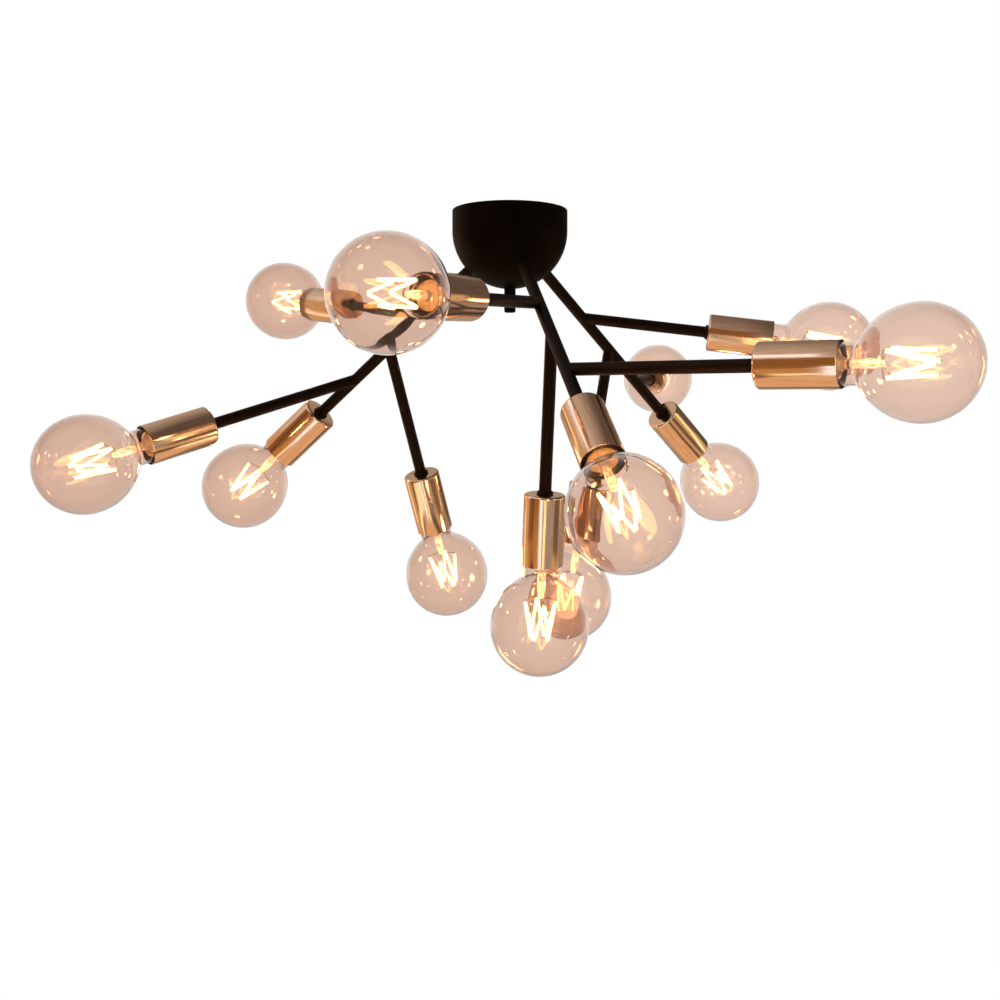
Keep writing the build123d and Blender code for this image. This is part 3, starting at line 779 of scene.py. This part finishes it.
stem_foot = FOOT_LIFT - CAP_TOP
stem_outline = [(0, stem_foot), (STEM_R + FLARE_R, stem_foot)]
stem_outline += arc((STEM_R + FLARE_R, stem_foot + FLARE_RIM + FLARE_R), FLARE_R, 270, 180, 8)
stem_outline += [(STEM_R, STEM_TOP), (TAPER_R, TAPER_LEVEL), (PINCH_R, PINCH_LEVEL),
                 (BEAD_R, BEAD_LEVEL), (PINCH_R, BEAD_SHOULDER), (0, BEAD_TOP)]
for tag, where in lamps.items():
    stem = turned(f"stem_{tag}", stem_outline, where, [mount_glass], sides=40, closed=False, sharp=60)
    crown = place_mesh(f"filaments_{tag}", *sticks, [0] * len(sticks[1]), where, [filament_light])
    support = place_mesh(f"wires_{tag}", *wires, [0] * len(wires[1]), where, [wire_nickel])
    for piece in (stem, crown, support):
        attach(piece, f"bulb_{tag}")
        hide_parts(f"bulb_{tag}_filament")
print("mounts", len(lamps), "outline points", len(stem_outline))

# %% [markdown]
# ## The white studio
#
# The photograph's background is plain white. The world is white to the camera and to rays that glass lets
# through, while the light that it gives is softer. Rays that a mirror has sent on see a dim taupe room
# instead, which is paler to the left in brass and paler behind in glass. One white for all rays would be
# simpler, but the inside faces of the glass would mirror it, and lay a grey veil over everything behind
# a globe.

# %% World
SOFT_LIGHT = 0.55


def studio_world():
    world = bpy.data.worlds.new("white_studio")
    bpy.context.scene.world = world
    world.use_nodes = True
    tree = world.node_tree
    tree.nodes.clear()
    soft = add(tree, "ShaderNodeBackground", {"Color": linear("#FFFFFF"), "Strength": SOFT_LIGHT})
    white = add(tree, "ShaderNodeBackground", {"Color": linear("#FFFFFF"), "Strength": 1.0})
    lit = add(tree, "ShaderNodeMixShader", {0: seen_ray(tree), 1: soft, 2: white})
    way = add(tree, "ShaderNodeSeparateXYZ", {0: add(tree, "ShaderNodeTexCoord").outputs["Generated"]})
    left = add(tree, "ShaderNodeMapRange",
               {"Value": way.outputs["X"], "From Min": 0.35, "From Max": -0.9})
    walls = add(tree, "ShaderNodeMix", {0: left, 6: linear("#665B54"), 7: linear("#EFE3DC")},
                data_type="RGBA")
    behind = add(tree, "ShaderNodeMapRange",
                 {"Value": way.outputs["Y"], "From Min": 0.35, "From Max": 0.85})
    depths = add(tree, "ShaderNodeMix", {0: behind, 6: linear("#6E625B"), 7: linear("#F4EEEA")},
                 data_type="RGBA")
    sharp = add(tree, "ShaderNodeLightPath").outputs["Is Singular Ray"]
    in_metal = add(tree, "ShaderNodeBackground", {"Color": walls.outputs[2], "Strength": 1.0})
    in_glass = add(tree, "ShaderNodeBackground", {"Color": depths.outputs[2], "Strength": 1.0})
    room = add(tree, "ShaderNodeMixShader", {0: sharp, 1: in_metal, 2: in_glass})
    both = add(tree, "ShaderNodeMixShader", {0: mirrored_ray(tree), 1: lit, 2: room})
    add(tree, "ShaderNodeOutputWorld", {"Surface": both})


studio_world()
print(bpy.context.scene.world.name)

# %% [markdown]
# ## The floor
#
# A pale sheet of paper lies far below the light. The world alone could be the whole background, but the
# paper also sends some light back up, as a studio's floor does. It is as white to the camera as the world.

# %% Floor
# Metres.
FLOOR_LEVEL, FLOOR_HALF = -2.4, 8.0


def floor_paper():
    # Gives the eye a seamless white sheet, and mirrored rays a dim one.
    paper, tree = finish_named("white_studio_floor")
    matte = add(tree, "ShaderNodeBsdfDiffuse", {"Color": linear("#E8E6E3")})
    white = add(tree, "ShaderNodeEmission", {"Color": linear("#FFFFFF"), "Strength": 1.0})
    lit = add(tree, "ShaderNodeMixShader", {0: seen_ray(tree), 1: matte, 2: white})
    dim = add(tree, "ShaderNodeEmission", {"Color": linear("#6E625B"), "Strength": 1.0})
    both = add(tree, "ShaderNodeMixShader", {0: mirrored_ray(tree), 1: lit, 2: dim})
    add(tree, "ShaderNodeOutputMaterial", {"Surface": both})
    return paper


def staged(name, corners, faces, finish, unseen_by):
    """Adds a piece of the studio, which is no part of the light, unseen by some kinds of ray."""
    mesh = bpy.data.meshes.new(name)
    mesh.from_pydata(corners, [], faces)
    mesh.materials.append(finish)
    made = bpy.data.objects.new(name, mesh)
    bpy.context.scene.collection.objects.link(made)
    for kind in unseen_by:
        setattr(made, f"visible_{kind}", False)
    return made


floor_sides = ((-1, -1), (1, -1), (1, 1), (-1, 1))
floor_corners = [(x * FLOOR_HALF, y * FLOOR_HALF, FLOOR_LEVEL) for x, y in floor_sides]
staged("studio_floor", floor_corners, [(0, 1, 2, 3)], floor_paper(), ["glossy"])
print("floor at", FLOOR_LEVEL, "m")

# %% [markdown]
# ## The room that brass mirrors
#
# Brass is almost a mirror, so it needs something to mirror, or the cups look like flat paint. A picture of
# a room could be wrapped round the scene, but the script uses no pictures. Patches of a sphere three
# metres round the light stand in for the room's window, walls, lamps and floor. Only blurred reflections
# see them: smooth glass, whose mirror rays are sharp, doesn't, so the globes carry no pale rectangles.

# %% Patches that brass reflects
ROOM_MIDDLE = Vector((0, 0, -0.25))
PATCH_STEP = 5


def shares(span):
    """Angles in radians that divide a span of degrees into steps of about five degrees."""
    steps = max(1, round((span[1] - span[0]) / PATCH_STEP))
    return [math.radians(span[0] + (span[1] - span[0]) * i / steps) for i in range(steps + 1)]


def patch_light(name, tone, strength):
    # Gives the brass a flat band of this colour.
    light, tree = finish_named(name)
    glow = add(tree, "ShaderNodeEmission", {"Color": linear(tone), "Strength": strength})
    unseen = add(tree, "ShaderNodeBsdfTransparent")
    sharp = add(tree, "ShaderNodeLightPath").outputs["Is Singular Ray"]
    both = add(tree, "ShaderNodeMixShader", {0: sharp, 1: glow, 2: unseen})
    add(tree, "ShaderNodeOutputMaterial", {"Surface": both})
    return light


def room_patch(name, bearings, heights, tone, strength, distance):
    """Part of a sphere round the light, seen only in reflections.

    Bearings run in degrees from the camera's side towards +X, and heights are degrees above the level.
    """
    turns, rises = shares(bearings), shares(heights)
    corners = []
    for turn in turns:
        for rise in rises:
            level = math.cos(rise)
            way = Vector((level * math.sin(turn), -level * math.cos(turn), math.sin(rise)))
            corners.append(ROOM_MIDDLE + way * distance)
    row = len(rises)
    starts = [row * i + j for i in range(len(turns) - 1) for j in range(row - 1)]
    faces = [(start, start + row, start + row + 1, start + 1) for start in starts]
    staged(name, corners, faces, patch_light(name, tone, strength),
           ["camera", "diffuse", "transmission", "shadow"])


room_patch("tall_window", (-27, -10), (-52, -9), "#DCE8FF", 2.1, 3.0)
room_patch("window_post", (-10, -4), (-52, -9), "#5A3C22", 1.0, 3.0)
room_patch("lit_curtain", (-4, 8), (-52, -9), "#FFECB8", 2.0, 3.0)
room_patch("amber_panel", (-92, -27), (-40, -16), "#CE995B", 1.0, 3.1)
room_patch("brown_panel", (-92, 8), (-16, 28), "#956739", 1.0, 3.1)
room_patch("panel_joint", (-70, -66), (-30, 24), "#2A1A10", 1.0, 3.0)
room_patch("dark_chest", (-90, -56), (-52, -28), "#241408", 1.0, 3.0)
room_patch("tan_wall", (-155, -92), (-40, 22), "#DDB68E", 1.0, 3.1)
room_patch("wall_lamp_left", (-129, -117), (-30, 12), "#FFE2BC", 1.6, 3.0)
room_patch("taupe_wall", (8, 52), (-40, 10), "#B4ABA8", 1.0, 3.1)
room_patch("bookcase", (54, 86), (-27, -11), "#75655A", 1.0, 3.0)
room_patch("taupe_panel", (86, 150), (-24, -8), "#AE9C92", 1.0, 3.05)
room_patch("gold_panel", (52, 70), (-40, 2), "#E0BE92", 1.0, 3.1)
room_patch("picture_light", (44, 70), (2, 11), "#FFE3B4", 1.6, 3.0)
room_patch("gold_wall", (70, 116), (-40, 10), "#DCC29A", 1.0, 3.1)
room_patch("wall_lamp_right", (88, 98), (-12, 6), "#FFE9B8", 2.4, 3.0)
room_patch("pale_backdrop", (155, 205), (-35, 35), "#B5A597", 1.0, 3.1)
room_patch("ceiling_strip", (-110, -29), (33, 46), "#E4ECFF", 1.9, 3.0)
room_patch("floor_edge_left", (-100, -29), (-47, -40), "#FFE9C4", 1.9, 2.9)
room_patch("floor_edge_right", (84, 130), (-53, -46), "#FFE9C4", 2.0, 2.9)
room_patch("warm_floor", (-180, 180), (-88, -52), "#F4CBA4", 1.0, 3.2)
print("patches ready")

# %% [markdown]
# ## The bloom of mirrored filaments
#
# A lit filament is so bright that even its faint image in another globe's wall overloads a camera and
# spreads into a round speck. A render has no such overload, and a glow added to the finished picture would
# slide over the lamps in other views. So a small ball of light stands in each lamp, and shows only to rays
# that a mirror image has already sent on. Rays that bounced off the lamp's own wall have passed about four
# faces of glass, and don't see it. The ball belongs to the studio, and rides with its lamp.

# %% Bloom balls
# Radius and place along the lamp in metres.
BLOOM_R, BLOOM_OUT, BLOOM_POWER = 0.021, 0.055, 26.0
OWN_WALL_FACES, OWN_WALL_MARGIN = 4.0, 1.5


def bloom_light():
    # Gives the globes small warm specks of the other lamps.
    bloom, tree = finish_named("mirrored_filament_bloom")
    glow = add(tree, "ShaderNodeEmission", {"Color": linear("#FFE4B8"), "Strength": BLOOM_POWER})
    unseen = add(tree, "ShaderNodeBsdfTransparent")
    path = add(tree, "ShaderNodeLightPath").outputs
    own_wall = add(tree, "ShaderNodeMath",
                   {0: path["Transmission Depth"], 1: OWN_WALL_FACES, 2: OWN_WALL_MARGIN},
                   operation="COMPARE")
    imaged = add(tree, "ShaderNodeMath", {0: mirrored_ray(tree), 1: own_wall}, operation="SUBTRACT",
                 use_clamp=True)
    elsewhere = add(tree, "ShaderNodeMath", {0: imaged, 1: path["Is Transmission Ray"]},
                    operation="MULTIPLY")
    both = add(tree, "ShaderNodeMixShader", {0: elsewhere, 1: unseen, 2: glow})
    add(tree, "ShaderNodeOutputMaterial", {"Surface": both})
    return bloom


def bloom_ball(tag, middle, finish):
    ball = bmesh.new()
    bmesh.ops.create_icosphere(ball, subdivisions=3, radius=BLOOM_R, matrix=Matrix.Translation(middle))
    corners = [v.co.copy() for v in ball.verts]
    faces = [[v.index for v in face.verts] for face in ball.faces]
    ball.free()
    made = staged(f"bloom_{tag}", corners, faces, finish, ["camera", "diffuse", "glossy", "shadow"])
    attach(made, f"bulb_{tag}")


filament_bloom = bloom_light()
for tag, where in lamps.items():
    bloom_ball(tag, where @ Vector((0, 0, BLOOM_OUT)), filament_bloom)
print("bloom balls", len(lamps))

# %% [markdown]
# ## Soft boxes
#
# A studio lights such an object with large soft boxes, a stronger one on the left and a weaker one on the
# right. Point lamps would do it with less set-up, but they leave hard shadows. The boxes only light the
# object: neither brass nor glass mirrors them, since the photograph shows no pale rectangles.

# %% Key and fill light


def soft_box(name, place, size, power):
    """An area light, sizes in metres and power in watts, that faces the middle of the room."""
    light = bpy.data.lights.new(name, "AREA")
    light.shape = "RECTANGLE"
    light.size, light.size_y = size
    light.energy = power
    made = bpy.data.objects.new(name, light)
    made.location = place
    made.rotation_euler = (ROOM_MIDDLE - Vector(place)).to_track_quat("-Z", "Y").to_euler()
    made.visible_glossy = False
    made.visible_transmission = False
    bpy.context.scene.collection.objects.link(made)


soft_box("key_box", (-1.6, -2.0, 0.6), (1.2, 0.9), 22)
soft_box("fill_box", (2.2, -1.4, -0.4), (0.8, 1.4), 12)
print("soft boxes ready")
